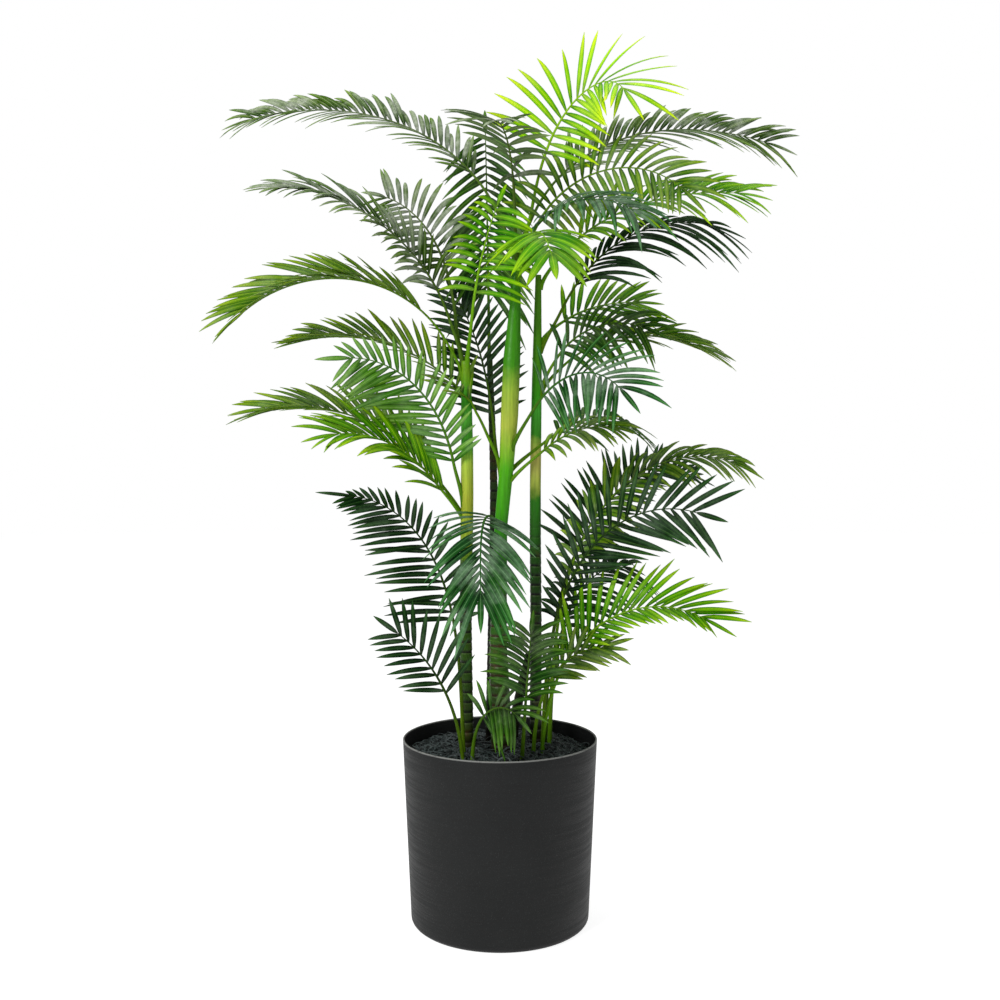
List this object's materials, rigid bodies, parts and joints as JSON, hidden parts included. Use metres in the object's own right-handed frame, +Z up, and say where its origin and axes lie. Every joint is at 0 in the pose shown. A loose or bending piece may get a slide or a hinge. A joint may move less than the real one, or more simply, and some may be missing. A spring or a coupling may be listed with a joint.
{
  "type": "potted palm",
  "caption": "Potted palm: slim ringed canes with arching feather fronds, standing in a plain black tapered cylinder pot topped with dark fibre.",
  "frame": {"origin": "centre of the pot's flat underside, on the floor", "axes": "+Z up along the pot's axis, +X to the right and -Y to the front"},
  "size_m": [1.2448, 0.6368, 1.7767],
  "materials": {
    "pot": "matt black with fine level streaks and speckle",
    "potting_soil": "rough and dull",
    "moss_mulch": "matt shredded fibre",
    "cane": "satin green, ringed, darker at the foot",
    "cane_dark": "satin dark green-brown",
    "frond_dark": "satin printed leaf cloth, dark green",
    "frond_middle": "satin printed leaf cloth, mid green",
    "frond_olive": "satin printed leaf cloth, olive green",
    "frond_bright": "satin printed leaf cloth, bright yellow-green"
  },
  "bodies": {
    "root": {"pot": "pot", "potting_soil": "potting_soil", "moss_mulch": "moss_mulch", "cane_left": "cane", "cane_centre": "cane", "cane_back": "cane_dark", "cane_right": "cane", "cane_side": "cane_dark", "frond_top_1": "frond_bright", "frond_top_2": "frond_olive", "frond_top_3": "frond_dark", "frond_left_1": "frond_olive", "frond_left_2": "frond_olive", "frond_left_3": "frond_middle", "frond_left_4": "frond_olive", "frond_left_5": "frond_olive", "frond_left_6": "frond_middle", "frond_left_7": "frond_olive", "frond_left_8": "frond_bright", "frond_left_9": "frond_dark", "frond_left_10": "frond_dark", "frond_back_1": "frond_dark", "frond_front_1": "frond_bright", "frond_front_2": "frond_dark", "frond_front_3": "frond_bright", "frond_front_4": "frond_dark", "frond_front_5": "frond_middle", "frond_front_6": "frond_olive", "frond_front_7": "frond_dark", "frond_right_1": "frond_olive", "frond_right_2": "frond_middle", "frond_right_3": "frond_bright", "frond_right_4": "frond_dark", "frond_right_5": "frond_bright", "frond_right_6": "frond_olive", "frond_right_7": "frond_dark", "frond_right_8": "frond_olive", "frond_right_9": "frond_bright", "frond_right_10": "frond_dark", "frond_right_11": "frond_middle", "frond_right_12": "frond_bright", "frond_right_13": "frond_dark", "frond_right_14": "frond_bright", "frond_right_15": "frond_middle"}
  },
  "joints": []
}
